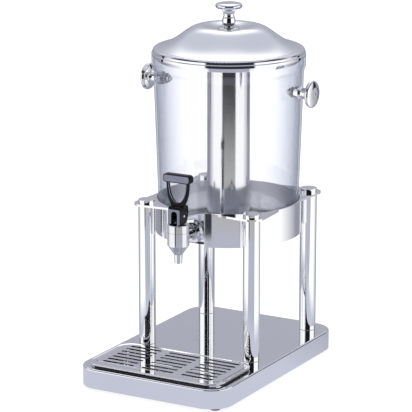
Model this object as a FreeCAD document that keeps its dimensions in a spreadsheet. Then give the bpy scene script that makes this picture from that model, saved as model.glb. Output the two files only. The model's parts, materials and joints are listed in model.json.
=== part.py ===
import FreeCAD, Part
import math
import os

import Sketcher
from FreeCAD import Placement, Rotation, Vector

# Beverage dispenser: a clear container with an ice tube, a lid and a lever tap,
# carried by a ring on four posts over a base with a drip tray. Millimetres, +Z up.
# Origin: centre of the base, on the surface that the feet stand on. The tap is on -Y.

DIMENSIONS = {
    # base
    "base_width": 245.0, "base_depth": 367.0, "base_corner": 35.0, "base_top": 34.2,
    "skirt_bottom": 5.0, "base_sheet": 1.5, "base_edge_round": 2.5,
    "floor_plate_bottom": 6.2, "floor_plate_sheet": 1.8, "floor_plate_gap": 0.4,
    "foot_x": 101.4, "foot_y": 161.9, "foot_radius": 9.0, "foot_height": 6.2,
    "foot_taper": 0.6, "foot_toe": 1.0, "foot_toe_height": 1.2,
    "foot_recess_radius": 5.4, "foot_recess_depth": 3.4, "foot_screw_radius": 2.0,
    "screw_gap": 0.2, "screw_head_radius": 4.0, "screw_head_bottom": 1.2, "screw_head_edge": 0.7,
    "foot_screw_end": 14.0,
    # drip tray, raised above the base, and its grille
    "tray_width": 223.0, "tray_front": 174.0, "tray_rear": 58.0, "tray_corner": 25.0,
    "tray_rim_top": 39.3, "tray_edge_round": 2.0, "tray_sheet": 1.2,
    "basin_width": 198.0, "basin_front": 152.4, "basin_rear": 67.4, "basin_corner": 14.0,
    "basin_floor": 19.0, "basin_gap": 1.2, "basin_overlap": 1.0,
    "grille_width": 208.0, "grille_front": 157.0, "grille_rear": 62.6, "grille_corner": 10.0,
    "grille_sheet": 1.4, "grille_gap": 0.35, "grille_seat": 37.5, "grille_lift": 0.05,
    "slot_length": 52.6, "slot_width": 6.0, "slot_pitch_x": 66.0, "slot_pitch_y": 13.15,
    "slot_columns": 3.0, "slot_rows": 7.0, "slot_shift": 1.8,
    # posts and what holds them
    "column_y": 60.0, "post_x": 88.4, "post_y": 90.3, "post_radius": 12.7, "post_sheet": 1.5,
    "insert_length": 22.0, "insert_gap": 0.1, "insert_bore": 4.0,
    "bolt_radius": 3.95, "bolt_head_radius": 6.5, "bolt_head_height": 4.0, "bolt_head_edge": 0.8,
    "bolt_gap": 0.3, "bolt_end_gap": 4.0, "spacer_radius": 9.0,
    "plate_sheet": 3.0, "plate_tip_radius": 18.5, "plate_half_angle": 27.0, "weld_gap": 0.05,
    "cap_height": 5.2, "cap_edge_round": 0.8, "cap_stud_length": 16.0, "cap_stud_gap": 0.1,
    # carrying ring
    "ring_outer": 109.2, "ring_sheet": 2.0, "ring_bottom": 200.7, "ring_top": 251.3,
    "ring_slot": 37.6, "ledge_inner": 93.0, "ledge_sheet": 2.0,
    "gasket_inner": 95.0, "gasket_outer": 102.0, "gasket_height": 1.4,
    # container
    "container_bottom": 204.3, "container_floor": 3.5, "container_wall": 3.0,
    "container_base_radius": 103.6, "container_neck_radius": 111.3, "container_neck": 443.0,
    "collar_radius": 114.2, "collar_bottom": 455.0, "container_top": 467.2,
    "rim_thickness": 5.0, "rim_height": 4.6, "rim_slope": 2.5, "floor_round": 7.0,
    "locator_inner": 33.6, "locator_outer": 35.8, "locator_height": 5.0,
    "knob_z": 421.2, "stud_hole": 3.3,
    "boss_radius": 17.0, "boss_inner": 98.0, "boss_outer": 106.0, "shank_hole": 8.3,
    "shank_hole_lead": 6.0,
    # ice tube
    "tube_radius": 31.7, "tube_sheet": 1.0, "tube_bottom": 208.2, "tube_top": 463.0,
    "tube_bead": 2.2, "tube_bead_slope": 1.0, "tube_bead_edge": 1.0,
    "tube_foot_height": 6.0, "tube_foot_wall": 1.45, "tube_foot_edge": 0.6, "tube_foot_gap": 0.05,
    # lid
    "lid_sheet": 1.2, "lid_seat_z": 507.6, "lid_wall_radius": 112.6,
    "lid_lip_radius": 114.2, "lid_bottom": 467.4, "lid_lip_top": 471.8, "lid_shoulder": 476.2,
    "skirt_radius": 108.6, "lid_skirt_sheet": 1.2, "lid_skirt_bottom": 460.8,
    "lid_skirt_taper": 2.4, "lid_skirt_top": 2.0, "lid_weld_gap": 0.05,
    # knobs: the body is the same turned piece in all three places
    "knob_plate_radius": 16.6, "knob_plate_height": 3.0, "knob_plate_edge": 0.9,
    "knob_stud_radius": 3.0, "knob_stud_length": 13.0, "knob_stud_edge": 0.5,
    "knob_height": 34.6, "side_knob_height": 32.4, "knob_seat": 110.95, "seat_gap": 0.02,
    "washer_radius": 8.0, "washer_thickness": 1.2, "washer_gap": 0.2, "side_washer_gap": 2.3,
    "nut_radius": 5.6, "nut_thickness": 4.5, "thread_gap": 0.05,
    # tap
    "tap_y": -90.0, "shank_z": 223.0, "tap_radius": 16.0, "tap_cone_top": 211.5,
    "tap_cone_bottom": 199.4, "cone_tip_radius": 7.6, "cone_lead": 1.6, "spout_tip": 184.5,
    "spout_top_radius": 6.5,
    "spout_tip_radius": 5.7, "spout_bore": 4.0, "seat_z": 204.5, "chamber_z": 209.5,
    "chamber_radius": 12.0, "body_top": 231.2, "spigot_radius": 13.6, "spigot_top": 237.0,
    "bonnet_bottom": 231.5, "bonnet_top": 243.4, "bonnet_gap": 0.1, "bonnet_edge_round": 1.2,
    "relief_gap": 0.3, "chamber_cone": 1.0,
    "spring_pocket_radius": 7.2, "spring_pocket_top": 240.6,
    "tail_radius": 9.6, "tail_start": 12.0, "tail_end": 31.0, "shoulder_radius": 11.4,
    "shoulder_end": 36.6, "shank_radius": 8.0, "shank_end": 64.0, "shank_bore": 5.0,
    "flange_radius": 18.0, "flange_edge": 1.4, "flange_edge_run": 0.8, "flange_dome": 4.6,
    "flange_dome_radius": 11.0, "flange_dome_run": 2.0, "flange_dome_edge": 1.0, "stack_gap": 0.05,
    "seal_radius": 14.0, "seal_thickness": 1.4, "lock_nut_radius": 14.5, "lock_nut_height": 7.0,
    # plunger and lever
    "stem_radius": 3.1, "stem_guide_gap": 0.08, "stem_bottom": 213.2, "stem_top": 260.6,
    "plug_radius": 8.6, "plug_side": 3.0, "plug_top": 213.2, "plug_tip_radius": 3.4,
    "plug_tip": 204.9, "press_gap": 0.02,
    "pin_z": 255.8, "pin_radius": 1.8, "pin_gap": 0.06, "pin_length": 20.4,
    "yoke_width": 20.6, "yoke_front": 12.3, "yoke_back": 11.6, "yoke_bottom": 243.8,
    "yoke_top": 270.6, "yoke_top_chamfer": 3.0, "yoke_slot_width": 10.6, "yoke_slot_top": 258.6,
    "yoke_slot_back": 7.6, "loop_depth": 4.6, "loop_neck": 10.0, "loop_shoulder": 18.4,
    "loop_shoulder_z": 302.0, "loop_neck_z": 272.5, "loop_arm": 3.8, "loop_foot_z": 276.4,
    "loop_foot_half": 4.0, "loop_foot_round": 4.6, "bar_width": 45.4, "bar_depth": 10.6,
    "bar_bottom": 304.6, "bar_top": 317.2, "bar_round": 4.6, "weld_overlap": 2.0,
    "spring_radius": 5.3, "spring_wire": 1.1, "spring_turns": 7.0, "spring_gap": 0.2,
}

doc = FreeCAD.newDocument("beverage_dispenser")
sheet = doc.addObject("Spreadsheet::Sheet", "Size")
for row, (alias, value) in enumerate(DIMENSIONS.items(), start=1):
    sheet.set("A%d" % row, alias)
    sheet.set("B%d" % row, str(value))
    sheet.setAlias("B%d" % row, alias)
doc.recompute()

# The lid's crown: radius, and height above the knob's seat.
CROWN = ((17.0, 0.0), (27.0, 1.7), (37.0, 3.7), (47.0, 3.2), (57.0, -0.6), (67.0, -7.2),
         (77.0, -14.5), (87.0, -20.8), (97.0, -25.8), (105.5, -29.0))
# A knob's section. The foot and barrel are measured from the seat, the rest down from the top.
KNOB_FOOT = ((6.8, 0.0), (7.2, 0.5), (9.4, 0.9))
KNOB_BARREL = ((10.0, 1.6), (10.05, 5.0), (9.9, 8.2))
KNOB_WAIST = ((9.2, -23.0), (8.3, -21.2), (8.05, -18.6), (8.35, -16.0), (9.4, -13.2), (11.6, -11.0),
              (15.4, -9.6), (18.9, -8.1))
KNOB_DOME = ((20.2, -5.4), (19.5, -3.1), (15.6, -1.2), (8.0, -0.3), (0.0, 0.0))
HALF_TURN = 0.001        # a half circle's radius needs this much more than half its chord
THROUGH = 20.0           # a cut that goes right through a wall

pieces = []
CORNERS = (("front_left", -1, -1), ("front_right", 1, -1), ("rear_left", -1, 1), ("rear_right", 1, 1))
SIDES = (("left", -1), ("right", 1))


# ---------------------------------------------------------------- helpers

def bound(expression):
    """An expression over dimension names, written for the sheet's cells."""
    words = []
    word = ""
    for letter in expression + " ":
        if letter.isalnum() or letter in "_.":
            word += letter
            continue
        words.append("Size." + word if word in DIMENSIONS else word)
        words.append(letter)
        word = ""
    return "".join(words).strip()


def number(expression):
    """The expression's value in millimetres."""
    found = sheet.evalExpression(bound(expression))
    return float(getattr(found, "Value", found))


def bind(item, target, expression):
    item.setExpression(target, bound(expression))


def keep(item, label):
    item.Label = label
    pieces.append(item)
    return item


def place(item, x="0", y="0", z="0"):
    for axis, expression in zip("xyz", (x, y, z)):
        bind(item, ".Placement.Base." + axis, expression)


def new_body(label, x="0", y="0", z="0", turn=None):
    body = doc.addObject("PartDesign::Body", label + "_body")
    if turn is not None:
        body.Placement = Placement(Vector(), turn)
    place(body, x, y, z)
    return keep(body, label)


def new_sketch(body, plane="XY", lift="0"):
    sketch = body.newObject("Sketcher::SketchObject", body.Label + "_outline")
    origin = [f for f in body.Origin.OriginFeatures if f.Role == plane + "_Plane"][0]
    sketch.AttachmentSupport = [(origin, "")]
    sketch.MapMode = "FlatFace"
    bind(sketch, ".AttachmentOffset.Base.z", lift)
    return sketch


def constrain(sketch, kind, arguments, expression):
    index = sketch.addConstraint(Sketcher.Constraint(kind, *arguments, number(expression)))
    bind(sketch, "Constraints[%d]" % index, expression)


def pin_point(sketch, geometry, position, x, y):
    """Fix one point of a sketch at bound distances from the sketch's origin."""
    for kind, expression, axis in (("DistanceX", x, -2), ("DistanceY", y, -1)):
        if expression == "0":
            sketch.addConstraint(Sketcher.Constraint("PointOnObject", geometry, position, axis))
        else:
            constrain(sketch, kind, (-1, 1, geometry, position), expression)


def arc_between(start, end, radius, side):
    """The short arc from start to end. Its centre is left of the way with side 1, right with -1."""
    middle = (start + end) * 0.5
    along = end - start
    reach = math.sqrt(max(radius ** 2 - (along.Length / 2) ** 2, 0.0))
    across = Vector(-along.y, along.x, 0).normalize() * side
    centre = middle + across * reach
    first, last = (start, end) if side > 0 else (end, start)
    angles = [math.atan2(p.y - centre.y, p.x - centre.x) for p in (first, last)]
    circle = Part.Circle(centre, Vector(0, 0, 1), radius)
    return Part.ArcOfCircle(circle, angles[0], angles[1])


def outline(sketch, corners):
    """A closed outline. A corner is (x, y), or (x, y, radius, side) where an arc starts."""
    first = sketch.GeometryCount
    points = [Vector(number(c[0]), number(c[1]), 0) for c in corners]
    ends = []
    for index, corner in enumerate(corners):
        start = points[index]
        end = points[(index + 1) % len(points)]
        if len(corner) == 2:
            sketch.addGeometry(Part.LineSegment(start, end))
            ends.append((1, 2))
        else:
            sketch.addGeometry(arc_between(start, end, number(corner[2]), corner[3]))
            ends.append((1, 2) if corner[3] > 0 else (2, 1))
    for index, corner in enumerate(corners):
        following = (index + 1) % len(corners)
        joint = (first + index, ends[index][1], first + following, ends[following][0])
        sketch.addConstraint(Sketcher.Constraint("Coincident", *joint))
        pin_point(sketch, first + index, ends[index][0], corner[0], corner[1])
        if len(corner) > 2:
            constrain(sketch, "Radius", (first + index,), corner[2])


def ring_outline(sketch, radius, x="0", y="0"):
    centre = Vector(number(x), number(y), 0)
    index = sketch.addGeometry(Part.Circle(centre, Vector(0, 0, 1), number(radius)))
    pin_point(sketch, index, 3, x, y)
    constrain(sketch, "Radius", (index,), radius)


def round_box(sketch, width, low, high, radius):
    """A rectangle centred on X between two Y values, with round corners."""
    left, right = "-(%s) / 2" % width, "(%s) / 2" % width
    outline(sketch, (
        (left + " + " + radius, low), (right + " - " + radius, low, radius, 1),
        (right, low + " + " + radius), (right, high + " - " + radius, radius, 1),
        (right + " - " + radius, high), (left + " + " + radius, high, radius, 1),
        (left, high + " - " + radius), (left, low + " + " + radius, radius, 1)))


def extrude(kind, body, sketch, length, backwards=False, both_ways=False):
    feature = body.newObject("PartDesign::" + kind, body.Label + "_" + kind.lower())
    feature.Profile = sketch
    feature.Reversed = backwards
    if both_ways:
        feature.Midplane = True
    bind(feature, "Length", length)
    sketch.Visibility = False
    before = None if feature.BaseFeature is None else feature.BaseFeature.Shape.Volume
    doc.recompute()
    if before is not None:
        change = feature.Shape.Volume - before
        if (change >= 0) == (kind == "Pocket"):
            raise ValueError("%s in %s points away from the solid" % (kind, body.Label))
    return feature


def pad(body, sketch, length, **how):
    return extrude("Pad", body, sketch, length, **how)


def pocket(body, sketch, length, **how):
    return extrude("Pocket", body, sketch, length, **how)


def revolve(body, sketch):
    feature = body.newObject("PartDesign::Revolution", body.Label + "_turned")
    feature.Profile = sketch
    feature.ReferenceAxis = (sketch, ["V_Axis"])
    feature.Angle = 360.0
    doc.recompute()
    return feature


def turned(label, corners, x="0", y="0", z="0", turn=None):
    """A body turned about its own Z axis from (radius, height) corners."""
    body = new_body(label, x, y, z, turn)
    sketch = new_sketch(body, "XZ")
    outline(sketch, corners)
    revolve(body, sketch)
    return body


def plain_ring(label, inner, outer, bottom, height, **where):
    """A flat ring with its underside at the height called bottom."""
    body = new_body(label, **where)
    sketch = new_sketch(body, "XY", bottom)
    ring_outline(sketch, outer)
    ring_outline(sketch, inner)
    pad(body, sketch, height)
    return body


def soften(body, radius, wanted):
    """Round the edges that the wanted test picks on the body's last feature."""
    feature = body.Tip
    names = ["Edge%d" % (i + 1) for i, edge in enumerate(feature.Shape.Edges) if wanted(edge)]
    rounding = body.newObject("PartDesign::Fillet", body.Label + "_round")
    rounding.Base = (feature, names)
    bind(rounding, "Radius", radius)
    doc.recompute()
    return rounding


def level_edge(edge, height):
    box = edge.BoundBox
    return abs(box.ZMin - height) < 0.01 and abs(box.ZMax - height) < 0.01


def mirrored(source, normal, centre):
    copy = doc.addObject("Part::Mirroring", source.Label + "_mirrored")
    copy.Source = source
    copy.Normal = normal
    copy.Base = centre
    doc.recompute()
    return copy


def group(label, members):
    """Identical pieces kept as one node of separate solids."""
    for member in members:
        if member in pieces:
            pieces.remove(member)
            member.Label = label + "_member"
    compound = doc.addObject("Part::Compound", label + "_group")
    compound.Links = members
    doc.recompute()
    return keep(compound, label)


def four_of(label, source, centre_y):
    """The source and its mirror images about X and about the line y = centre_y."""
    centre = Vector(0, number(centre_y), 0)
    across = mirrored(source, Vector(1, 0, 0), centre)
    behind = mirrored(source, Vector(0, 1, 0), centre)
    opposite = mirrored(across, Vector(0, 1, 0), centre)
    return group(label, [source, across, behind, opposite])


def two_of(label, source):
    return group(label, [source, mirrored(source, Vector(1, 0, 0), Vector())])


# ---------------------------------------------------------------- base

def make_base_cover():
    """Pressed cover: flat top with an opening for the tray's basin, and a skirt all round."""
    body = new_body("base_cover")
    sketch = new_sketch(body, "XY", "skirt_bottom")
    round_box(sketch, "base_width", "-base_depth / 2", "base_depth / 2", "base_corner")
    pad(body, sketch, "base_top - skirt_bottom")
    top = number("base_top")
    soften(body, "base_edge_round", lambda edge: level_edge(edge, top))
    hollow = new_sketch(body, "XY", "skirt_bottom")
    round_box(hollow, "base_width - 2 * base_sheet", "-base_depth / 2 + base_sheet",
              "base_depth / 2 - base_sheet", "base_corner - base_sheet")
    pocket(body, hollow, "base_top - skirt_bottom - base_sheet", backwards=True)
    opening = new_sketch(body, "XY", "base_top")
    round_box(opening, "basin_width + 2 * basin_gap", "-basin_front - basin_gap",
              "-basin_rear + basin_gap", "basin_corner + basin_gap")
    pocket(body, opening, "2 * base_sheet")
    holes = new_sketch(body, "XY", "base_top")
    for name, x, y in CORNERS:
        ring_outline(holes, "bolt_radius + bolt_gap", "%d * post_x" % x, "column_y + %d * post_y" % y)
    pocket(body, holes, "2 * base_sheet")


def make_base_floor():
    """Flat plate that closes the base from below, with spacers up to the cover."""
    body = new_body("base_floor_plate")
    sketch = new_sketch(body, "XY", "floor_plate_bottom")
    inset = "base_sheet + floor_plate_gap"
    round_box(sketch, "base_width - 2 * (%s)" % inset, "-base_depth / 2 + (%s)" % inset,
              "base_depth / 2 - (%s)" % inset, "base_corner - base_sheet - floor_plate_gap")
    for name, x, y in CORNERS:
        ring_outline(sketch, "bolt_radius + bolt_gap", "%d * post_x" % x, "column_y + %d * post_y" % y)
        ring_outline(sketch, "foot_screw_radius + screw_gap / 2", "%d * foot_x" % x, "%d * foot_y" % y)
    pad(body, sketch, "floor_plate_sheet")
    spacer = plain_ring("base_spacers", "bolt_radius + bolt_gap", "spacer_radius",
                        "floor_plate_bottom + floor_plate_sheet",
                        "base_top - base_sheet - floor_plate_bottom - floor_plate_sheet",
                        x="post_x", y="column_y - post_y")
    four_of("base_spacers", spacer, "column_y")


def make_feet():
    hole = "foot_screw_radius + screw_gap"
    foot = turned("rubber_feet", (
        (hole, "foot_recess_depth"), ("foot_recess_radius", "foot_recess_depth"),
        ("foot_recess_radius", "0"), ("foot_radius - foot_taper - foot_toe", "0"),
        ("foot_radius - foot_taper", "foot_toe_height"), ("foot_radius", "foot_height"),
        (hole, "foot_height")), x="foot_x", y="-foot_y")
    four_of("rubber_feet", foot, "0")
    screw = turned("foot_screws", (
        ("0", "screw_head_bottom"), ("screw_head_radius - screw_head_edge", "screw_head_bottom"),
        ("screw_head_radius", "screw_head_bottom + screw_head_edge"),
        ("screw_head_radius", "foot_recess_depth"), ("foot_screw_radius", "foot_recess_depth"),
        ("foot_screw_radius", "foot_screw_end"), ("0", "foot_screw_end")),
        x="foot_x", y="-foot_y")
    four_of("foot_screws", screw, "0")


# ---------------------------------------------------------------- drip tray

def make_drip_tray():
    """Tray whose rim stands on the base, with a basin that hangs in the base's opening."""
    body = new_body("drip_tray")
    rim = new_sketch(body, "XY", "base_top")
    round_box(rim, "tray_width", "-tray_front", "-tray_rear", "tray_corner")
    pad(body, rim, "tray_rim_top - base_top")
    top = number("tray_rim_top")
    soften(body, "tray_edge_round", lambda edge: level_edge(edge, top))
    basin = new_sketch(body, "XY", "basin_floor")
    round_box(basin, "basin_width", "-basin_front", "-basin_rear", "basin_corner")
    pad(body, basin, "base_top - basin_floor + basin_overlap")
    seat = new_sketch(body, "XY", "grille_seat")
    round_box(seat, "grille_width + 2 * grille_gap", "-grille_front - grille_gap",
              "-grille_rear + grille_gap", "grille_corner + grille_gap")
    pocket(body, seat, "tray_rim_top", backwards=True)
    inside = new_sketch(body, "XY", "basin_floor + tray_sheet")
    round_box(inside, "basin_width - 2 * tray_sheet", "-basin_front + tray_sheet",
              "-basin_rear - tray_sheet", "basin_corner - tray_sheet")
    pocket(body, inside, "tray_rim_top", backwards=True)


def make_drip_grille():
    """Flat slotted plate that drops into the tray's rim."""
    body = new_body("drip_grille")
    plate = new_sketch(body, "XY", "grille_seat + grille_lift")
    round_box(plate, "grille_width", "-grille_front", "-grille_rear", "grille_corner")
    pad(body, plate, "grille_sheet")
    slot = new_sketch(body, "XY", "grille_seat")
    left = "-slot_pitch_x - slot_length / 2 + slot_width / 2"
    right = "-slot_pitch_x + slot_length / 2 - slot_width / 2"
    middle = "-(grille_front + grille_rear) / 2 + slot_shift"
    low = middle + " - slot_pitch_y * (slot_rows - 1) / 2 - slot_width / 2"
    high = low + " + slot_width"
    end = "slot_width / 2 + %g" % HALF_TURN
    outline(slot, ((left, low), (right, low, end, 1), (right, high), (left, high, end, 1)))
    cut = pocket(body, slot, "2 * grille_sheet", backwards=True)
    before = body.Shape.Volume
    grid = body.newObject("PartDesign::MultiTransform", "drip_grille_slots")
    grid.Originals = [cut]
    lines = []
    for axis, pitch, count in (("H_Axis", "slot_pitch_x", "slot_columns"),
                               ("V_Axis", "slot_pitch_y", "slot_rows")):
        line = body.newObject("PartDesign::LinearPattern", "drip_grille_" + axis.lower())
        line.Direction = (slot, [axis])
        bind(line, "Length", "%s * (%s - 1)" % (pitch, count))
        bind(line, "Occurrences", count)
        lines.append(line)
    grid.Transformations = lines
    body.Tip = grid
    doc.recompute()
    slots = number("slot_columns * slot_rows")
    one = number("grille_width") * number("grille_sheet")
    if before - body.Shape.Volume < one or len(body.Shape.Faces) < slots:
        raise ValueError("the grille's slots are missing")


# ---------------------------------------------------------------- posts

def make_posts():
    floor = "base_top"
    length = "ring_top - plate_sheet - base_top"
    for name, x, y in CORNERS:
        plain_ring("post_" + name, "post_radius - post_sheet", "post_radius", floor, length,
                   x="%d * post_x" % x, y="column_y + %d * post_y" % y)
    inner = "post_radius - post_sheet - insert_gap"
    low = plain_ring("lower_post_inserts", "insert_bore", inner, "base_top", "insert_length",
                     x="post_x", y="column_y - post_y")
    four_of("lower_post_inserts", low, "column_y")
    high = plain_ring("upper_post_inserts", "insert_bore", inner,
                      "ring_top - plate_sheet - insert_length", "insert_length",
                      x="post_x", y="column_y - post_y")
    four_of("upper_post_inserts", high, "column_y")
    head = "floor_plate_bottom - bolt_head_height"
    end = "base_top + insert_length - bolt_end_gap"
    bolt = turned("post_bolts", (
        ("0", head), ("bolt_head_radius - bolt_head_edge", head),
        ("bolt_head_radius", head + " + bolt_head_edge"), ("bolt_head_radius", "floor_plate_bottom"),
        ("bolt_radius", "floor_plate_bottom"), ("bolt_radius", end), ("0", end)),
        x="post_x", y="column_y - post_y")
    four_of("post_bolts", bolt, "column_y")


def make_corner_plates():
    """Flat lugs that join the ring to the posts: straight edges run to a round tip."""
    spread = math.degrees(math.atan2(number("post_y"), number("post_x")))
    reach = "sqrt(post_x ^ 2 + post_y ^ 2)"
    inner = "ring_outer + weld_gap"
    for name, x, y in CORNERS:
        angle = spread * y if x > 0 else 180.0 - spread * y
        body = new_body("corner_plate_" + name, y="column_y", turn=Rotation(Vector(0, 0, 1), angle))
        sketch = new_sketch(body, "XY", "ring_top - plate_sheet")
        corner_y = "(%s) * sin(plate_half_angle * 1 deg)" % inner
        radius = number("plate_tip_radius")
        tip = Vector(number(reach), 0, 0)
        foot = Vector(number(inner) * math.cos(math.radians(number("plate_half_angle"))),
                      -number(inner) * math.sin(math.radians(number("plate_half_angle"))), 0)
        away = tip - foot
        turn = math.atan2(away.y, away.x) - math.asin(radius / away.Length)
        touch = foot + Vector(math.cos(turn), math.sin(turn), 0) * math.sqrt(
            away.Length ** 2 - radius ** 2)
        mirror = Vector(touch.x, -touch.y, 0)
        upper_foot = Vector(foot.x, -foot.y, 0)
        centre = Part.Circle(tip, Vector(0, 0, 1), radius)
        start = math.atan2(touch.y, touch.x - tip.x)
        weld = Part.Circle(Vector(), Vector(0, 0, 1), number(inner))
        half = math.radians(number("plate_half_angle"))
        sketch.addGeometry(Part.LineSegment(foot, touch))
        sketch.addGeometry(Part.ArcOfCircle(centre, start, -start))
        sketch.addGeometry(Part.LineSegment(mirror, upper_foot))
        sketch.addGeometry(Part.ArcOfCircle(weld, -half, half))
        for joint in ((0, 2, 1, 1), (1, 2, 2, 1)):
            sketch.addConstraint(Sketcher.Constraint("Tangent", *joint))
        sketch.addConstraint(Sketcher.Constraint("Coincident", 2, 2, 3, 2))
        sketch.addConstraint(Sketcher.Constraint("Coincident", 3, 1, 0, 1))
        pin_point(sketch, 1, 3, reach, "0")
        constrain(sketch, "Radius", (1,), "plate_tip_radius")
        pin_point(sketch, 3, 3, "0", "0")
        constrain(sketch, "Radius", (3,), inner)
        constrain(sketch, "DistanceY", (-1, 1, 3, 2), corner_y)
        constrain(sketch, "DistanceY", (3, 1, -1, 1), corner_y)
        ring_outline(sketch, "insert_bore + bolt_gap", reach, "0")
        pad(body, sketch, "plate_sheet")


def make_post_caps():
    stud = "insert_bore - cap_stud_gap"
    for name, x, y in CORNERS:
        cap = turned("post_cap_" + name, (
            ("0", "ring_top - cap_stud_length"), (stud, "ring_top - cap_stud_length"),
            (stud, "ring_top"), ("post_radius", "ring_top"),
            ("post_radius", "ring_top + cap_height"), ("0", "ring_top + cap_height")),
            x="%d * post_x" % x, y="column_y + %d * post_y" % y)
        top = number("ring_top + cap_height")
        soften(cap, "cap_edge_round", lambda edge: level_edge(edge, top))


# ---------------------------------------------------------------- carrying ring

def open_ring(label, inner, outer, bottom, height):
    """A ring with a gap of the slot's width at the front."""
    body = new_body(label, y="column_y")
    sketch = new_sketch(body, "XY", bottom)
    half = "ring_slot / 2"
    far = {}
    for radius in (inner, outer):
        far[radius] = "-sqrt((%s) ^ 2 - (%s) ^ 2)" % (radius, half)
    circles = [Part.Circle(Vector(), Vector(0, 0, 1), number(r)) for r in (outer, inner)]
    for circle, radius in zip(circles, (outer, inner)):
        gap = math.asin(number(half) / number(radius))
        sketch.addGeometry(Part.ArcOfCircle(circle, -math.pi / 2 + gap, 1.5 * math.pi - gap))
    ends = [[Vector(side * number(half), number(far[r]), 0) for r in (outer, inner)] for side in (1, -1)]
    sketch.addGeometry(Part.LineSegment(ends[0][0], ends[0][1]))
    sketch.addGeometry(Part.LineSegment(ends[1][0], ends[1][1]))
    for joint in ((0, 1, 2, 1), (1, 1, 2, 2), (0, 2, 3, 1), (1, 2, 3, 2)):
        sketch.addConstraint(Sketcher.Constraint("Coincident", *joint))
    for index, radius in enumerate((outer, inner)):
        pin_point(sketch, index, 3, "0", "0")
        constrain(sketch, "Radius", (index,), radius)
        constrain(sketch, "DistanceX", (-1, 1, index, 1), half)
        constrain(sketch, "DistanceX", (index, 2, -1, 1), half)
    pad(body, sketch, height)
    return body


def make_ring():
    open_ring("ring_band", "ring_outer - ring_sheet", "ring_outer", "ring_bottom",
              "ring_top - ring_bottom")
    open_ring("ring_ledge", "ledge_inner", "ring_outer - ring_sheet - weld_gap", "ring_bottom",
              "ledge_sheet")
    plain_ring("seat_gasket", "gasket_inner", "gasket_outer", "ring_bottom + ledge_sheet",
               "gasket_height", y="column_y")


# ---------------------------------------------------------------- container

def make_container():
    """Tapered clear container with a wider collar, a thick rim and a flat boss for the tap."""
    body = new_body("container", y="column_y")
    wall = "container_wall"
    inner_base = "container_base_radius - container_wall"
    flare = "collar_radius - container_neck_radius"
    rise = "collar_bottom - container_neck"
    bend = "((%s) ^ 2 + (%s) ^ 2) / (4 * (%s))" % (rise, flare, flare)
    mid_radius = "(collar_radius + container_neck_radius) / 2"
    mid_height = "(collar_bottom + container_neck) / 2"
    floor = "container_bottom + container_floor"
    lift = "locator_height"
    sketch = new_sketch(body, "XZ")
    outline(sketch, (
        ("0", "container_bottom"),
        ("container_base_radius - floor_round", "container_bottom", "floor_round", 1),
        ("container_base_radius", "container_bottom + floor_round"),
        ("container_neck_radius", "container_neck", bend, -1),
        (mid_radius, mid_height, bend, 1),
        ("collar_radius", "collar_bottom"),
        ("collar_radius", "container_top"),
        ("collar_radius - rim_thickness", "container_top"),
        ("collar_radius - rim_thickness", "container_top - rim_height"),
        ("collar_radius - " + wall, "container_top - rim_height - rim_slope"),
        ("collar_radius - " + wall, "collar_bottom", bend, -1),
        (mid_radius + " - " + wall, mid_height, bend, 1),
        ("container_neck_radius - " + wall, "container_neck"),
        (inner_base, floor + " + floor_round - container_wall", "floor_round - container_wall", -1),
        (inner_base + " - floor_round + container_wall", floor),
        ("locator_outer", floor), ("locator_outer", floor + " + " + lift),
        ("locator_inner", floor + " + " + lift), ("locator_inner", floor), ("0", floor)))
    revolve(body, sketch)
    boss = new_sketch(body, "XZ", "boss_inner")
    ring_outline(boss, "boss_radius", "0", "shank_z")
    pad(body, boss, "boss_outer - boss_inner")
    shank = new_sketch(body, "XZ", "boss_inner - shank_hole_lead")
    ring_outline(shank, "shank_hole", "0", "shank_z")
    pocket(body, shank, str(THROUGH), backwards=True)
    studs = new_sketch(body, "YZ")
    ring_outline(studs, "stud_hole", "0", "knob_z")
    pocket(body, studs, "3 * collar_radius", both_ways=True)


def make_ice_tube():
    """Deep drawn tube, closed at the bottom, with a bead round its open top."""
    turned("ice_tube", (
        ("0", "tube_bottom"), ("tube_radius", "tube_bottom"),
        ("tube_radius", "tube_top - tube_bead_edge - tube_bead_slope"),
        ("tube_radius + tube_bead", "tube_top - tube_bead_edge"),
        ("tube_radius + tube_bead", "tube_top"), ("tube_radius - tube_sheet", "tube_top"),
        ("tube_radius - tube_sheet", "tube_bottom + tube_sheet"), ("0", "tube_bottom + tube_sheet")),
        y="column_y")


def make_tube_foot():
    """Soft ring round the tube's lower end, inside the container's locating ring."""
    inner = "tube_radius + tube_foot_gap"
    outer = inner + " + tube_foot_wall"
    top = "tube_bottom + tube_foot_height"
    turned("tube_foot", (
        (inner, "tube_bottom"), (outer, "tube_bottom"), (outer, top + " - tube_foot_edge"),
        (outer + " - tube_foot_edge", top), (inner, top)), y="column_y")


# ---------------------------------------------------------------- lid and knobs

def spun(label, points, y, x="0", z="0"):
    """A smooth lathe surface: runs of (radius, height) points, each run one curve or line."""
    edges = []
    for run in points:
        line = [Vector(r, 0, h) for r, h in run]
        if len(line) == 2:
            edges.append(Part.LineSegment(line[0], line[1]).toShape())
        else:
            curve = Part.BSplineCurve()
            curve.interpolate(line)
            edges.append(curve.toShape())
    face = Part.Face(Part.Wire(edges))
    solid = face.revolve(Vector(), Vector(0, 0, 1), 360.0)
    feature = doc.addObject("Part::Feature", label + "_spun")
    feature.Shape = Part.Solid(solid) if solid.ShapeType == "Shell" else solid
    feature.Placement = Placement(Vector(number(x), number(y), number(z)), Rotation())
    return keep(feature, label)


def lid_crown(drop):
    """The lid's section from the knob's seat over the crown and down the bell to the shoulder."""
    seat = number("lid_seat_z")
    return [(radius, seat + rise - drop) for radius, rise in CROWN]


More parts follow.
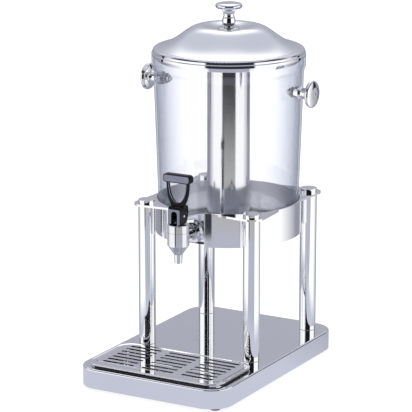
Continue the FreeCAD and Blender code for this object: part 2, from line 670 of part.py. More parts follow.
def make_lid():
    thick = number("lid_sheet")
    hole = number("stud_hole")
    wall = number("lid_wall_radius")
    lip = number("lid_lip_radius")
    bottom = number("lid_bottom")
    lip_top = number("lid_lip_top")
    shoulder = number("lid_shoulder")
    outer = lid_crown(0.0)
    inner = lid_crown(thick)
    bend_out = [outer[-1], (wall - 2.0, shoulder + 1.5), (wall, shoulder - 1.2)]
    bend_in = [(wall - thick, shoulder - 1.6), (wall - 2.8, shoulder + 0.2), inner[-1]]
    step = [(wall, lip_top + 0.4), (wall + 0.5, lip_top), (lip - 0.4, lip_top - 0.2),
            (lip, lip_top - 0.7)]
    spun("lid", (
        [(hole, outer[0][1]), outer[0]], outer, bend_out, [bend_out[-1], step[0]], step,
        [step[-1], (lip, bottom)], [(lip, bottom), (wall - thick, bottom)],
        [(wall - thick, bottom), bend_in[0]], bend_in, inner[::-1],
        [inner[0], (hole, inner[0][1])], [(hole, inner[0][1]), (hole, outer[0][1])]), "column_y")
    flange = "lid_bottom + lid_skirt_top"
    outside = "lid_wall_radius - lid_sheet - lid_weld_gap"
    turned("lid_skirt", (
        ("skirt_radius - lid_skirt_taper - lid_skirt_sheet", "lid_skirt_bottom"),
        ("skirt_radius - lid_skirt_taper", "lid_skirt_bottom"), ("skirt_radius", flange),
        (outside, flange), (outside, flange + " + lid_skirt_sheet"),
        ("skirt_radius - lid_skirt_sheet", flange + " + lid_skirt_sheet")), y="column_y")


def knob_section(height):
    """A knob's section above its seat: foot and barrel, then a waist under a domed disc."""
    lower = [list(KNOB_FOOT), [KNOB_FOOT[-1], KNOB_BARREL[0]], list(KNOB_BARREL)]
    waist, dome = [[(radius, height + drop) for radius, drop in run] for run in (KNOB_WAIST, KNOB_DOME)]
    return lower + [[KNOB_BARREL[-1], waist[0]], waist, [waist[-1], dome[0]], dome]


def make_knob(label, height, x, y, z, turn=None):
    """Knob and its threaded stud, turned in one piece, with the stud pointing down."""
    top = number(height)
    stud = number("knob_stud_radius")
    edge = number("knob_stud_edge")
    end = -number("knob_stud_length")
    runs = knob_section(top)
    runs += [[(0.0, top), (0.0, end)], [(0.0, end), (stud - edge, end)],
             [(stud - edge, end), (stud, end + edge)], [(stud, end + edge), (stud, 0.0)],
             [(stud, 0.0), KNOB_FOOT[0]]]
    knob = spun(label, runs, "0")
    rotation = Rotation() if turn is None else turn
    knob.Placement = Placement(Vector(number(x), number(y), number(z)), rotation)


def make_lid_knob():
    make_knob("lid_knob", "knob_height", "0", "column_y", "lid_seat_z + knob_plate_height + stack_gap")
    outer = number("knob_plate_radius")
    edge = number("knob_plate_edge")
    top = number("knob_plate_height")
    hole = number("knob_stud_radius + washer_gap")
    flare = [(outer, edge), (12.0, 1.15), (8.9, 1.9), (7.9, top)]
    spun("lid_knob_plate", (
        [(hole, 0.0), (outer, 0.0)], [(outer, 0.0), flare[0]], flare, [flare[-1], (hole, top)],
        [(hole, top), (hole, 0.0)]), "column_y", z="lid_seat_z + seat_gap")
    under = "lid_seat_z - lid_sheet - seat_gap"
    plain_ring("lid_knob_washer", "knob_stud_radius + washer_gap", "washer_radius",
               under + " - washer_thickness", "washer_thickness", y="column_y")
    make_nut("lid_knob_nut", under + " - washer_thickness - nut_thickness", y="column_y")


def make_nut(label, bottom, **where):
    """Plain hexagon nut."""
    body = new_body(label, **where)
    sketch = new_sketch(body, "XY", bottom)
    hexagon(sketch, "nut_radius")
    ring_outline(sketch, "knob_stud_radius + thread_gap")
    pad(body, sketch, "nut_thickness")
    return body


def hexagon(sketch, radius):
    corners = []
    for step in range(6):
        angle = "%d deg" % (60 * step)
        corners.append(("(%s) * cos(%s)" % (radius, angle), "(%s) * sin(%s)" % (radius, angle)))
    corners[0] = (corners[0][0], "0")
    corners[3] = (corners[3][0], "0")
    outline(sketch, corners)


def make_side_knobs():
    """One knob on each side of the container, with a washer and a nut inside it."""
    for name, side in SIDES:
        turn = Rotation(Vector(0, 1, 0), 90.0 * side)
        make_knob("side_knob_" + name, "side_knob_height", "%d * knob_seat" % side, "column_y",
                  "knob_z", turn)
    across = Rotation(Vector(0, 1, 0), 90.0)
    face = "knob_seat - container_wall - side_washer_gap"
    washer = plain_ring("side_knob_washers", "knob_stud_radius + washer_gap", "washer_radius", "0",
                        "washer_thickness", x=face, y="column_y", z="knob_z", turn=across)
    two_of("side_knob_washers", washer)
    nut = make_nut("side_knob_nuts", "0", y="column_y", z="knob_z", turn=across,
                   x=face + " - stack_gap - nut_thickness")
    two_of("side_knob_nuts", nut)


# ---------------------------------------------------------------- tap

def make_tap_body():
    """Cast body: vertical chamber and spout, and a threaded tail to the container."""
    body = new_body("tap_body", y="tap_y")
    sketch = new_sketch(body, "XZ")
    outline(sketch, (
        ("spout_bore", "spout_tip"), ("spout_tip_radius", "spout_tip"),
        ("spout_top_radius", "tap_cone_bottom - cone_lead"), ("cone_tip_radius", "tap_cone_bottom"),
        ("tap_radius", "tap_cone_top"), ("tap_radius", "body_top"), ("spigot_radius", "body_top"),
        ("spigot_radius", "spigot_top"), ("chamber_radius", "spigot_top"),
        ("chamber_radius", "chamber_z"), ("spout_bore + chamber_cone", "seat_z"),
        ("spout_bore", "seat_z - chamber_cone")))
    revolve(body, sketch)
    for radius, start, end in (("tail_radius", "tail_start", "tail_end"),
                               ("shoulder_radius", "tail_end", "shoulder_end"),
                               ("shank_radius", "shoulder_end", "shank_end")):
        step = new_sketch(body, "XZ", "-(%s)" % end)
        ring_outline(step, radius, "0", "shank_z")
        pad(body, step, "%s - %s" % (end, start))
    relief = new_sketch(body, "XY", "body_top")
    ring_outline(relief, "tap_radius + relief_gap")
    ring_outline(relief, "spigot_radius")
    pocket(body, relief, "spigot_top - body_top", backwards=True)
    chamber = new_sketch(body, "XY", "chamber_z + chamber_cone")
    ring_outline(chamber, "chamber_radius")
    pocket(body, chamber, "spigot_top - chamber_z", backwards=True)
    bore = new_sketch(body, "XZ", "-shank_end")
    ring_outline(bore, "shank_bore", "0", "shank_z")
    pocket(body, bore, "shank_end", backwards=True)


def make_bonnet():
    """Screwed top of the tap, with a pocket for the spring and a guide for the stem."""
    guide = "stem_radius + stem_guide_gap"
    bonnet = turned("tap_bonnet", (
        ("spigot_radius + bonnet_gap", "bonnet_bottom"), ("tap_radius", "bonnet_bottom"),
        ("tap_radius", "bonnet_top"), (guide, "bonnet_top"), (guide, "spring_pocket_top"),
        ("spring_pocket_radius", "spring_pocket_top"), ("spring_pocket_radius", "spigot_top + bonnet_gap"),
        ("spigot_radius + bonnet_gap", "spigot_top + bonnet_gap")), y="tap_y")
    top = number("bonnet_top")
    outer = number("tap_radius")
    soften(bonnet, "bonnet_edge_round",
           lambda edge: level_edge(edge, top) and edge.BoundBox.XLength > outer)


def make_tap_fixings():
    """Flange, seals and lock nut along the tap's tail, stacked on the container's boss."""
    forward = Rotation(Vector(1, 0, 0), 90.0)
    where = {"y": "column_y", "z": "shank_z", "turn": forward}
    bore = "shank_radius + washer_gap"
    outside = "boss_outer + stack_gap"
    plain_ring("tap_outer_seal", bore, "seal_radius", outside, "seal_thickness", **where)
    face = outside + " + seal_thickness + stack_gap"
    turned("tap_flange", (
        (bore, face), ("flange_radius", face), ("flange_radius", face + " + flange_edge / 2"),
        ("flange_radius - flange_edge_run", face + " + flange_edge"),
        ("flange_dome_radius + flange_dome_run", face + " + flange_edge + flange_edge_run"),
        ("flange_dome_radius", face + " + flange_dome - flange_dome_edge"),
        ("flange_dome_radius - flange_dome_edge", face + " + flange_dome"),
        (bore, face + " + flange_dome")), **where)
    plain_ring("tap_inner_seal", bore, "seal_radius", "boss_inner - stack_gap - seal_thickness",
               "seal_thickness", **where)
    nut = new_body("tap_lock_nut", **where)
    sketch = new_sketch(nut, "XY", "boss_inner - 2 * stack_gap - seal_thickness - lock_nut_height")
    hexagon(sketch, "lock_nut_radius")
    ring_outline(sketch, "shank_radius + thread_gap")
    pad(nut, sketch, "lock_nut_height")


def make_plunger():
    """Stem with the soft plug that closes the seat. The lever's pin goes through its top."""
    stem = new_body("tap_stem", y="tap_y")
    sketch = new_sketch(stem, "XY", "stem_bottom")
    ring_outline(sketch, "stem_radius")
    pad(stem, sketch, "stem_top - stem_bottom")
    eye = new_sketch(stem, "YZ")
    ring_outline(eye, "pin_radius + press_gap", "0", "pin_z")
    pocket(stem, eye, "4 * stem_radius", both_ways=True)
    turned("seat_plug", (
        ("0", "plug_tip"), ("plug_tip_radius", "plug_tip"), ("plug_radius", "plug_top - plug_side"),
        ("plug_radius", "plug_top - press_gap"), ("0", "plug_top - press_gap")), y="tap_y")
    pin = doc.addObject("Part::Cylinder", "lever_pin_cylinder")
    bind(pin, "Radius", "pin_radius")
    bind(pin, "Height", "pin_length")
    pin.Placement = Placement(Vector(), Rotation(Vector(0, 1, 0), 90.0))
    place(pin, "-pin_length / 2", "tap_y", "pin_z")
    keep(pin, "lever_pin")


def make_spring():
    """Return spring round the stem, between the plug and the bonnet's pocket."""
    bottom = number("plug_top")
    wire = number("spring_wire") / 2
    gap = number("spring_gap")
    height = number("spring_pocket_top") - bottom - 2 * wire - 2 * gap
    mean = number("spring_radius")
    helix = Part.makeHelix(height / number("spring_turns"), height, mean)
    ring = Part.Wire(Part.makeCircle(wire, Vector(mean, 0, 0), Vector(0, 1, 0)))
    spring = doc.addObject("Part::Feature", "tap_spring_coil")
    spring.Shape = Part.Wire(helix.Edges).makePipeShell([ring], True, True)
    spring.Placement = Placement(Vector(0, number("tap_y"), bottom + wire + gap), Rotation())
    keep(spring, "tap_spring")


def make_lever():
    """Lever: a cam block astride the stem, and a loop that carries the finger bar."""
    body = new_body("tap_lever", y="tap_y")
    block = new_sketch(body, "YZ")
    outline(block, (
        ("-yoke_front", "yoke_bottom"), ("0", "yoke_bottom", "pin_z - yoke_bottom", 1),
        ("pin_z - yoke_bottom", "pin_z"), ("yoke_back", "yoke_top - yoke_top_chamfer"),
        ("yoke_back - yoke_top_chamfer", "yoke_top"), ("-yoke_front + yoke_top_chamfer", "yoke_top"),
        ("-yoke_front", "yoke_top - yoke_top_chamfer")))
    pad(body, block, "yoke_width", both_ways=True)
    loop = new_sketch(body, "XZ", "-loop_depth / 2")
    low = "yoke_top - weld_overlap"
    outline(loop, (
        ("-loop_neck", low), ("loop_neck", low), ("loop_neck", "loop_neck_z"),
        ("loop_shoulder", "loop_shoulder_z"), ("loop_shoulder", "bar_bottom + weld_overlap"),
        ("-loop_shoulder", "bar_bottom + weld_overlap"), ("-loop_shoulder", "loop_shoulder_z"),
        ("-loop_neck", "loop_neck_z")))
    side = "loop_foot_half + loop_foot_round"
    top = "loop_shoulder - loop_arm"
    outline(loop, (
        ("-loop_foot_half", "loop_foot_z"), ("loop_foot_half", "loop_foot_z", "loop_foot_round", 1),
        (side, "loop_foot_z + loop_foot_round"), (top, "loop_shoulder_z"), (top, "bar_bottom"),
        ("-(%s)" % top, "bar_bottom"), ("-(%s)" % top, "loop_shoulder_z"),
        ("-(%s)" % side, "loop_foot_z + loop_foot_round", "loop_foot_round", 1)))
    pad(body, loop, "loop_depth")
    bar = new_sketch(body, "XZ", "-bar_depth / 2")
    half = "bar_width / 2"
    radius = "bar_round"
    outline(bar, (
        ("-%s + %s" % (half, radius), "bar_bottom"), ("%s - %s" % (half, radius), "bar_bottom", radius, 1),
        (half, "bar_bottom + " + radius), (half, "bar_top - " + radius, radius, 1),
        ("%s - %s" % (half, radius), "bar_top"), ("-%s + %s" % (half, radius), "bar_top", radius, 1),
        ("-" + half, "bar_top - " + radius), ("-" + half, "bar_bottom + " + radius, radius, 1)))
    pad(body, bar, "bar_depth")
    slot = new_sketch(body, "XZ", "-yoke_slot_back")
    wide = "yoke_slot_width / 2"
    outline(slot, (
        ("-" + wide, "yoke_bottom - weld_overlap"), (wide, "yoke_bottom - weld_overlap"),
        (wide, "yoke_slot_top", wide + " + %g" % HALF_TURN, 1), ("-" + wide, "yoke_slot_top")))
    pocket(body, slot, "yoke_slot_back + yoke_front + weld_overlap", backwards=True)
    hole = new_sketch(body, "YZ")
    ring_outline(hole, "pin_radius + pin_gap", "0", "pin_z")
    pocket(body, hole, "2 * yoke_width", both_ways=True)


# ---------------------------------------------------------------- build and write

def check(items):
    doc.recompute()
    for item in doc.Objects:
        if any(word in item.State for word in ("Invalid", "Error")):
            raise ValueError("%s (%s) did not compute: %s" % (item.Name, item.Label, item.State))
    for item in items:
        if item.Shape.isNull() or not item.Shape.isValid() or not item.Shape.Solids:
            raise ValueError(item.Label + " has no valid solid")


def main():
    make_base_cover()
    make_base_floor()
    make_feet()
    make_drip_tray()
    make_drip_grille()
    make_posts()
    make_corner_plates()
    make_post_caps()
    make_ring()
    make_container()
    make_ice_tube()
    make_tube_foot()
    make_lid()
    make_lid_knob()
    make_side_knobs()
    make_tap_body()
    make_bonnet()
    make_tap_fixings()
    make_plunger()
    make_spring()
    make_lever()
    check(pieces)
    os.makedirs("parts", exist_ok=True)
    for item in pieces:
        item.Shape.exportStep("parts/%s.step" % item.Label)
    print("%d parts written" % len(pieces))


main()
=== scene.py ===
import json
import math

import bmesh
import bpy
from mathutils import Matrix, Vector


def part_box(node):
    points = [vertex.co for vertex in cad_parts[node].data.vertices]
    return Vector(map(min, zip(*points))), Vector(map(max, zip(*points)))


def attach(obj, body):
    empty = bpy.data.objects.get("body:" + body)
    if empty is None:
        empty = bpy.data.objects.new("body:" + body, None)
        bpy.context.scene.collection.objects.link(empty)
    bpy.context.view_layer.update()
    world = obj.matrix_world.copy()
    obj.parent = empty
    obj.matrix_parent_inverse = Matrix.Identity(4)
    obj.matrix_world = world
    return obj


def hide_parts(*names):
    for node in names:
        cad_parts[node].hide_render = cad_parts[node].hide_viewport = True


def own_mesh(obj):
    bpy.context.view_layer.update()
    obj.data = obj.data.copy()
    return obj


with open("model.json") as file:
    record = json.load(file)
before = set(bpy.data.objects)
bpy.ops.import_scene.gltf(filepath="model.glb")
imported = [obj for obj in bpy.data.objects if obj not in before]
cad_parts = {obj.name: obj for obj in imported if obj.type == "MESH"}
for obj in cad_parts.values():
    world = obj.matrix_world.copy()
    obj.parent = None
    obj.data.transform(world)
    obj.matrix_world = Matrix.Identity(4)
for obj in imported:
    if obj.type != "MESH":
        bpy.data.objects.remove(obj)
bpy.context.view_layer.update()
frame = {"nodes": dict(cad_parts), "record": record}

MM = 0.001
NODES = frame["nodes"]

# Where the viewer stands: seen from the front right, a little above.
VIEW_AZIMUTH = 29.353      # degrees round from the front towards the right
VIEW_HEADING = 29.421      # the same for the direction of sight
VIEW_DISTANCE = 3.449      # metres from the vertical axis
VIEW_HEIGHT = 1.1306
VIEW_PITCH = 14.325        # degrees below the horizon
VIEW_LENS = 210.74         # millimetres, on a 36 mm sensor


# ---------------------------------------------------------------- shape helpers

SHARP = 32.0               # degrees between two faces


def arc(centre, radius, start, end, steps):
    """Points on an arc, with its angles in degrees."""
    found = []
    for step in range(steps + 1):
        angle = math.radians(start + (end - start) * step / steps)
        found.append((centre[0] + radius * math.cos(angle), centre[1] + radius * math.sin(angle)))
    return found


def rounded(corners, steps=5):
    """A closed line through 2-D corners (x, y, rounding), with an arc in place of each corner."""
    points = []
    for index, (x, y, size) in enumerate(corners):
        here = Vector((x, y))
        if size <= 0.0:
            points.append((x, y))
            continue
        back = Vector(corners[index - 1][:2]) - here
        ahead = Vector(corners[(index + 1) % len(corners)][:2]) - here
        half = back.angle(ahead) / 2
        reach = min(size / math.tan(half), 0.49 * back.length, 0.49 * ahead.length)
        size = reach * math.tan(half)
        middle = here + (back.normalized() + ahead.normalized()).normalized() * (size / math.sin(half))
        first = here + back.normalized() * reach - middle
        last = here + ahead.normalized() * reach - middle
        turn = first.angle_signed(last)
        for step in range(steps + 1):
            swing = Matrix.Rotation(-turn * step / steps, 2)
            points.append(tuple(middle + swing @ first))
    return points


def through(points, steps=6):
    """A smooth line through 2-D points (Catmull-Rom)."""
    line = [Vector(p) for p in points]
    line = [line[0] * 2 - line[1]] + line + [line[-1] * 2 - line[-2]]
    found = []
    for a, b, c, d in zip(line, line[1:], line[2:], line[3:]):
        for step in range(steps):
            t = step / steps
            found.append(0.5 * (2 * b + (c - a) * t + (2 * a - 5 * b + 4 * c - d) * t ** 2
                                + (3 * b - a - 3 * c + d) * t ** 3))
    return [tuple(p) for p in found] + [tuple(line[-2])]


def build(name, points, faces):
    """A mesh object with smooth shading, sharp only where faces meet at more than SHARP degrees."""
    mesh = bpy.data.meshes.new(name)
    mesh.from_pydata([tuple(p) for p in points], [], faces)
    tidy = bmesh.new()
    tidy.from_mesh(mesh)
    bmesh.ops.remove_doubles(tidy, verts=tidy.verts, dist=1e-7)
    bmesh.ops.recalc_face_normals(tidy, faces=tidy.faces)
    tidy.to_mesh(mesh)
    tidy.free()
    mesh.shade_smooth()
    mesh.set_sharp_from_angle(angle=math.radians(SHARP))
    thing = bpy.data.objects.new(name, mesh)
    bpy.context.scene.collection.objects.link(thing)
    weigh = thing.modifiers.new("weighted", "WEIGHTED_NORMAL")
    weigh.keep_sharp = True
    return thing


def lathe(name, profile, axis=(0.0, 0.0), closed=True, segments=160):
    """A profile of (radius, height) points turned round an upright axis at (x, y)."""
    points = []
    for radius, height in profile:
        points += [(axis[0] + x, axis[1] + y, height)
                   for x, y in arc((0, 0), radius, 0, 360 - 360 / segments, segments - 1)]
    rows = len(profile)
    faces = []
    for row in range(rows if closed else rows - 1):
        following = (row + 1) % rows
        for step in range(segments):
            after = (step + 1) % segments
            faces.append([row * segments + step, row * segments + after,
                          following * segments + after, following * segments + step])
    return build(name, points, faces)


def round_rectangle(left, right, front, rear, radius, rear_radius=None, steps=14):
    """Points round a rectangle with round corners. The two rear ones may have their own radius."""
    back = rear_radius or radius
    points = []
    for x, y, size, start in ((right - back, rear - back, back, 0), (left + back, rear - back, back, 90),
                              (left + radius, front + radius, radius, 180),
                              (right - radius, front + radius, radius, 270)):
        points += arc((x, y), size, start, start + 90, steps)
    return points


def loft(name, sections):
    """A closed surface through sections of equal point counts, with a flat cap on both end sections."""
    size = len(sections[0][0])
    points = [(x, y, height) for outline, height in sections for x, y in outline]
    faces = [list(range(size)), list(range(len(points) - size, len(points)))]
    for row in range(len(sections) - 1):
        for step in range(size):
            after = (step + 1) % size
            faces.append([row * size + step, row * size + after,
                          (row + 1) * size + after, (row + 1) * size + step])
    return build(name, points, faces)


def skin_of(curve):
    """The points and faces that a thick curve makes."""
    holder = bpy.data.objects.new(curve.name, curve)
    bpy.context.scene.collection.objects.link(holder)
    bpy.context.view_layer.update()
    drawn = bpy.data.meshes.new_from_object(holder.evaluated_get(bpy.context.evaluated_depsgraph_get()))
    bpy.data.objects.remove(holder)
    points = [vertex.co.copy() for vertex in drawn.vertices]
    faces = [list(face.vertices) for face in drawn.polygons]
    bpy.data.meshes.remove(drawn)
    return points, faces


def draw(curve, line, closed=True):
    """Adds a line of 3-D points to a curve."""
    spline = curve.splines.new("POLY")
    spline.points.add(len(line) - 1)
    spline.use_cyclic_u = closed
    for point, place in zip(spline.points, line):
        point.co = (*place, 1.0)


def plate(name, outlines, low, high, edge, turn=None):
    """A flat plate: the first outline is its edge and the others are holes. Its rims are rounded."""
    curve = bpy.data.curves.new(name, "CURVE")
    curve.dimensions = "2D"
    curve.fill_mode = "BOTH"
    curve.extrude = (high - low) / 2 - edge
    curve.bevel_depth = edge
    curve.bevel_resolution = 3
    curve.offset = -edge
    for outline in outlines:
        draw(curve, [(x, y, 0.0) for x, y in outline])
    points, faces = skin_of(curve)
    place = (turn or Matrix.Identity(4)) @ Matrix.Translation((0, 0, (low + high) / 2))
    return build(name, [place @ point for point in points], faces)


def prism(name, outline, low, high, turn):
    """An outline (a, b) pushed from low to high, then turned. It is a rough block for moulded()."""
    size = len(outline)
    points = [turn @ Vector((a, b, depth)) for depth in (low, high) for a, b in outline]
    faces = [list(range(size)), list(range(size, 2 * size))]
    for step in range(size):
        after = (step + 1) % size
        faces.append([step, after, size + after, size + step])
    return build(name, points, faces)


def moulded(name, blocks, cuts, grain, rounds):
    """One moulded body from rough blocks: joined, cut, then softened at every edge and corner."""
    whole = blocks[0]
    whole.modifiers.clear()
    for kind, tools in (("UNION", blocks[1:]), ("DIFFERENCE", cuts)):
        for tool in tools:
            tool.modifiers.clear()
            joint = whole.modifiers.new(tool.name, "BOOLEAN")
            joint.operation = kind
            joint.solver = "EXACT"
            joint.object = tool
    remake = whole.modifiers.new("remake", "REMESH")
    remake.mode = "VOXEL"
    remake.voxel_size = grain
    soften = whole.modifiers.new("soften", "SMOOTH")
    soften.iterations = rounds
    bpy.context.view_layer.update()
    solid = bpy.data.meshes.new_from_object(whole.evaluated_get(bpy.context.evaluated_depsgraph_get()))
    for block in blocks + cuts:
        bpy.data.objects.remove(block)
    solid.name = name
    solid.shade_smooth()
    thing = bpy.data.objects.new(name, solid)
    bpy.context.scene.collection.objects.link(thing)
    return thing


def wire(name, line, radius, closed=True):
    """A round wire along 3-D points, as a closed mesh."""
    curve = bpy.data.curves.new(name, "CURVE")
    curve.dimensions = "3D"
    curve.bevel_depth = radius
    curve.bevel_resolution = 3
    curve.use_fill_caps = not closed
    draw(curve, line, closed)
    return build(name, *skin_of(curve))


def stand_in(thing, body, slot, material, *nodes):
    """The piece rides on its body, takes the given material and is shown in place of CAD nodes. Its slot is
    not used.
    """
    thing.data.materials.clear()
    thing.data.materials.append(material)
    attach(thing, body)
    if nodes:
        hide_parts(*nodes)


# ---------------------------------------------------------------- materials

class Shader:
    """A material's node tree, with short calls for the nodes that the materials share."""

    def __init__(self, name):
        self.material = bpy.data.materials.new(name)
        self.material.use_nodes = True
        self.nodes = self.material.node_tree.nodes
        self.links = self.material.node_tree.links
        self.surface = self.nodes["Principled BSDF"]
        self.place = self.node("ShaderNodeTexCoord").outputs["Object"]

    def node(self, kind, **settings):
        made = self.nodes.new(kind)
        for key, value in settings.items():
            setattr(made, key, value)
        return made

    def link(self, source, target):
        self.links.new(source, target)

    def fixed(self, **values):
        for key, value in values.items():
            self.surface.inputs[key.replace("_", " ")].default_value = value

    def noise(self, scale, detail=3.0, stretch=None, rough=0.5):
        made = self.node("ShaderNodeTexNoise")
        made.inputs["Scale"].default_value = scale
        made.inputs["Detail"].default_value = detail
        made.inputs["Roughness"].default_value = rough
        place = self.place
        if stretch:
            mapping = self.node("ShaderNodeMapping")
            mapping.inputs["Scale"].default_value = stretch
            self.link(place, mapping.inputs["Vector"])
            place = mapping.outputs[0]
        self.link(place, made.inputs["Vector"])
        return made.outputs["Fac"]

    def spread(self, value, low, high, from_low=0.3, from_high=0.7):
        made = self.node("ShaderNodeMapRange")
        self.link(value, made.inputs["Value"])
        for key, number in zip(("From Min", "From Max", "To Min", "To Max"),
                               (from_low, from_high, low, high)):
            made.inputs[key].default_value = number
        return made.outputs[0]

    def rise(self, value, start=0.3, end=0.7):
        """0 up to start, growing to 1 at end."""
        return self.spread(value, 0.0, 1.0, start, end)

    def fall(self, value, start, end):
        """1 up to start, shrinking to 0 at end."""
        return self.spread(value, 1.0, 0.0, start, end)

    def times(self, first, second):
        return self.math("MULTIPLY", first, second)

    def plus(self, first, second):
        return self.math("ADD", first, second)

    def math(self, operation, first, second=None):
        made = self.node("ShaderNodeMath", operation=operation)
        for index, value in enumerate((first, second)):
            if value is None:
                continue
            if isinstance(value, (int, float)):
                made.inputs[index].default_value = value
            else:
                self.link(value, made.inputs[index])
        return made.outputs[0]

    def blend(self, factor, low, high):
        made = self.node("ShaderNodeMix", data_type="RGBA")
        self.link(factor, made.inputs["Factor"])
        for key, value in (("A", low), ("B", high)):
            socket = [s for s in made.inputs if s.name == key and s.type == "RGBA"][0]
            if isinstance(value, tuple):
                socket.default_value = (*value, 1.0)
            else:
                self.link(value, socket)
        return [s for s in made.outputs if s.type == "RGBA"][0]

    def bump(self, height, strength, distance):
        made = self.node("ShaderNodeBump")
        made.inputs["Strength"].default_value = strength
        made.inputs["Distance"].default_value = distance
        self.link(height, made.inputs["Height"])
        self.link(made.outputs[0], self.surface.inputs["Normal"])
        return made.outputs[0]


def from_axis(look, node):
    """Distance from the upright axis of a round node, and height."""
    low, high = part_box(node)
    centre = (low + high) / 2
    shift = look.node("ShaderNodeVectorMath", operation="SUBTRACT")
    shift.inputs[1].default_value = (centre.x, centre.y, 0.0)
    look.link(look.place, shift.inputs[0])
    parts = look.node("ShaderNodeSeparateXYZ")
    look.link(shift.outputs[0], parts.inputs[0])
    squares = look.plus(look.math("POWER", parts.outputs["X"], 2.0),
                        look.math("POWER", parts.outputs["Y"], 2.0))
    return look.math("SQRT", squares), parts.outputs["Z"]


def mirror_steel(name="mirror_steel", haze_low=0.03, haze_high=0.065, brushed_inside=None):
    """Polished stainless steel: faint cloudiness, hairline scratches, and a soft haze.
    The inside of the round node named in brushed_inside is brushed and duller."""
    look = Shader(name)
    look.fixed(Metallic=1.0)
    cloud = look.noise(7.0, 4.0)
    haze = look.noise(38.0, 6.0, rough=0.62)
    hairs = look.noise(260.0, 2.0, stretch=(1.0, 0.06, 1.0))
    colour = look.blend(look.rise(cloud), (0.84, 0.845, 0.865), (0.88, 0.885, 0.90))
    rough = look.plus(look.spread(haze, haze_low, haze_high), look.spread(hairs, 0.0, 0.03, 0.55, 0.75))
    if brushed_inside:
        low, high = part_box(brushed_inside)
        outer = (high.x - low.x) / 2
        radius = from_axis(look, brushed_inside)[0]
        inside = look.fall(radius, outer - 1.3 * MM, outer - 0.7 * MM)
        lines = look.noise(90.0, 4.0, stretch=(0.1, 0.1, 6.0))
        colour = look.blend(inside, colour, (0.64, 0.65, 0.71))
        rough = look.plus(rough, look.times(inside, look.spread(lines, 0.30, 0.42)))
    look.link(colour, look.surface.inputs["Base Color"])
    look.link(rough, look.surface.inputs["Roughness"])
    look.bump(look.plus(look.times(hairs, 0.4), cloud), 0.02, 0.0004)
    return look.material


def satin_steel():
    """Spun lid: satin rings round the lid's axis, and a brightly polished rim band."""
    look = Shader("satin_steel")
    look.fixed(Metallic=1.0)
    radius, height = from_axis(look, "lid")
    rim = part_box("lid")[0].z
    rings = look.node("ShaderNodeTexNoise", noise_dimensions="1D")
    rings.inputs["Scale"].default_value = 900.0
    rings.inputs["Detail"].default_value = 4.0
    look.link(radius, rings.inputs["W"])
    cloud = look.noise(9.0, 4.0)
    on_top = look.rise(height, rim + 9.0 * MM, rim + 9.8 * MM)
    satin = look.plus(look.spread(rings.outputs["Fac"], 0.19, 0.23), look.spread(cloud, 0.0, 0.03))
    polished = look.spread(cloud, 0.03, 0.05)
    share = look.node("ShaderNodeMix", data_type="FLOAT")
    look.link(on_top, share.inputs["Factor"])
    look.link(polished, share.inputs["A"])
    look.link(satin, share.inputs["B"])
    look.link(share.outputs[0], look.surface.inputs["Roughness"])
    colour = look.blend(look.rise(cloud), (0.84, 0.845, 0.865), (0.87, 0.875, 0.89))
    look.link(colour, look.surface.inputs["Base Color"])
    look.bump(look.times(rings.outputs["Fac"], on_top), 0.02, 0.0001)
    return look.material


def plated_brass():
    """Bright plated casting: orange-peel ripple under the plating."""
    look = Shader("plated_brass")
    look.fixed(Metallic=1.0)
    ripple = look.noise(120.0, 3.0)
    cloud = look.noise(20.0, 4.0)
    colour = look.blend(look.rise(cloud), (0.70, 0.71, 0.74), (0.75, 0.755, 0.78))
    look.link(colour, look.surface.inputs["Base Color"])
    look.link(look.spread(cloud, 0.05, 0.11), look.surface.inputs["Roughness"])
    look.bump(ripple, 0.08, 0.0006)
    return look.material


def clear_polycarbonate():
    """Clear plastic wall: it shows what is behind it, tints it slightly, and mirrors at a slant."""
    look = Shader("clear_polycarbonate")
    passing = look.node("ShaderNodeBsdfTransparent")
    cloud = look.noise(5.0, 3.0)
    slant = look.node("ShaderNodeLayerWeight")
    slant.inputs["Blend"].default_value = 0.5
    clear = look.blend(look.rise(cloud), (0.978, 0.981, 0.990), (0.986, 0.988, 0.996))
    depth = look.rise(slant.outputs["Facing"], 0.13, 0.62)
    look.link(look.blend(depth, clear, (0.845, 0.857, 0.893)), passing.inputs["Color"])
    glossy = look.surface
    look.fixed(Metallic=1.0, Base_Color=(0.93, 0.94, 0.97, 1.0))
    smear = look.noise(30.0, 5.0, rough=0.6)
    look.link(look.spread(smear, 0.015, 0.05), glossy.inputs["Roughness"])
    bump = look.bump(cloud, 0.05, 0.002)
    look.link(bump, slant.inputs["Normal"])
    steep = look.math("POWER", slant.outputs["Facing"], 5.0)
    share = look.plus(look.times(steep, 0.95), 0.05)
    mixed = look.node("ShaderNodeMixShader")
    look.link(share, mixed.inputs[0])
    look.link(passing.outputs[0], mixed.inputs[1])
    look.link(glossy.outputs[0], mixed.inputs[2])
    look.link(mixed.outputs[0], look.nodes["Material Output"].inputs["Surface"])
    return look.material


def black_plastic():
    """Moulded black plastic: cloudy gloss over a fine grain."""
    look = Shader("black_plastic")
    grain = look.noise(700.0, 2.0)
    cloud = look.noise(60.0, 4.0)
    colour = look.blend(look.rise(cloud), (0.004, 0.004, 0.006), (0.010, 0.010, 0.013))
    look.link(colour, look.surface.inputs["Base Color"])
    look.link(look.spread(cloud, 0.16, 0.26), look.surface.inputs["Roughness"])
    look.fixed(Specular_IOR_Level=0.12)
    look.bump(grain, 0.06, 0.0002)
    return look.material


def sheen_lacquer():
    """Satin grey lacquer on the lever's front faces. Its light grey is painted sheen: it stands in for the
    bright reflection that these faces catch.
    """
    look = Shader("sheen_lacquer")
    grain = look.noise(900.0, 2.0)
    cloud = look.noise(80.0, 4.0)
    colour = look.blend(look.rise(cloud), (0.175, 0.185, 0.255), (0.215, 0.225, 0.30))
    look.link(colour, look.surface.inputs["Base Color"])
    look.link(look.spread(cloud, 0.30, 0.42), look.surface.inputs["Roughness"])
    look.bump(grain, 0.05, 0.0002)
    return look.material


